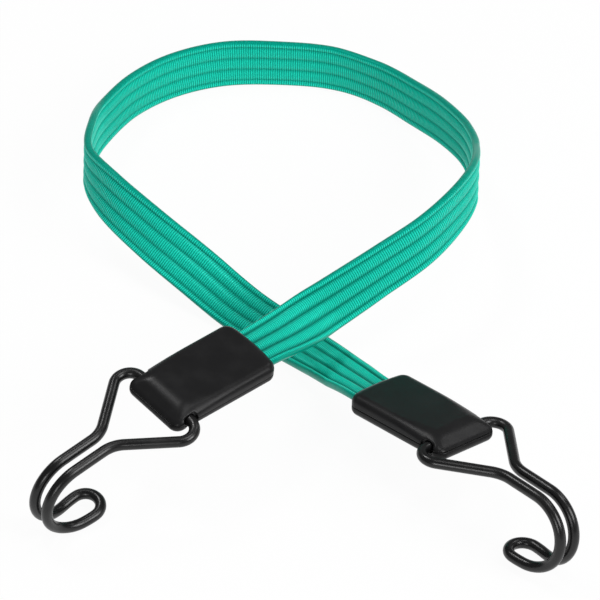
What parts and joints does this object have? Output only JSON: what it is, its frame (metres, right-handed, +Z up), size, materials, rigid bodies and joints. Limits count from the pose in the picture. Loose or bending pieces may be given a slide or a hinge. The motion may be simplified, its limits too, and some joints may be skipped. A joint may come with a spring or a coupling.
{
  "type": "flat bungee cord",
  "caption": "Flat ribbed elastic strap laid in an open loop, with a two-part moulded housing on each end that carries a swinging twin-wire hook.",
  "frame": {"origin": "on the floor, in the middle of the box round the two housings and hooks", "axes": "+Z up, +X from the left housing to the right one, +Y from the hooks to the back of the loop"},
  "size_m": [0.1988, 0.2985, 0.0496],
  "materials": {
    "woven_cover": "teal green woven elastic cover",
    "rubber_core": "natural rubber",
    "housing": "satin black moulded plastic",
    "crimp": "zinc plated strip",
    "hook_wire": "gloss black coated wire"
  },
  "bodies": {
    "strap_and_housings": {"woven_cover": "woven_cover", "rubber_core_1": "rubber_core", "rubber_core_2": "rubber_core", "rubber_core_3": "rubber_core", "rubber_core_4": "rubber_core", "rubber_core_5": "rubber_core", "left_upper_shell": "housing", "left_lower_shell": "housing", "left_crimp_band": "crimp", "right_upper_shell": "housing", "right_lower_shell": "housing", "right_crimp_band": "crimp"},
    "left_hook": {"left_hook": "hook_wire"},
    "right_hook": {"right_hook": "hook_wire"}
  },
  "joints": [
    {"name": "left_hook_swing", "type": "hinge", "parent": "strap_and_housings", "child": "left_hook", "pos_m": [-0.05, 0.0139, 0.03646], "axis": [-0.6577, 0.7467, 0.0993], "range_deg": [-115, 150]},
    {"name": "right_hook_swing", "type": "hinge", "parent": "strap_and_housings", "child": "right_hook", "pos_m": [0.0555, 0.0029, 0.02838], "axis": [-0.7362, -0.6532, 0.1769], "range_deg": [-115, 150]}
  ]
}
